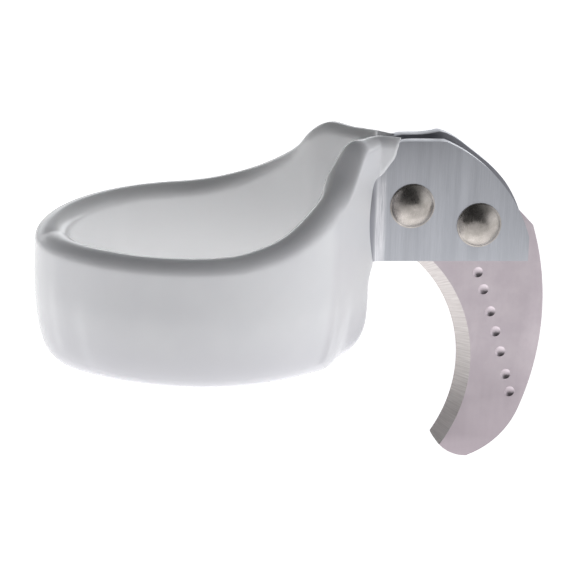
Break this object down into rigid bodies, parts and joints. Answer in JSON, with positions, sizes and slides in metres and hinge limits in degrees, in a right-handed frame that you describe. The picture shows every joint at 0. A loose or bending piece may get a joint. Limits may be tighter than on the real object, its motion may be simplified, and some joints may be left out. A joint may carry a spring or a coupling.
{
  "type": "finger ring hook knife",
  "caption": "Ring worn on the finger with a hook blade riveted between its two flat ends, for cutting twine, tape and thread.",
  "frame": {"origin": "on the finger's axis, half way up the back of the ring", "axes": "+Z along the finger's axis towards the ring's high upper edge, +X from the finger to the blade, Y = 0 is the blade's middle plane"},
  "size_m": [0.0395, 0.0238, 0.0263],
  "materials": {
    "strap": "brushed",
    "sleeve": "smooth, softly shining",
    "blade": "satin, with a ground bevel",
    "rivets": "polished domes"
  },
  "bodies": {
    "root": {"strap": "strap", "ring_sleeve": "sleeve", "hook_blade": "blade", "rivet_inner": "rivets", "rivet_outer": "rivets"}
  },
  "joints": []
}
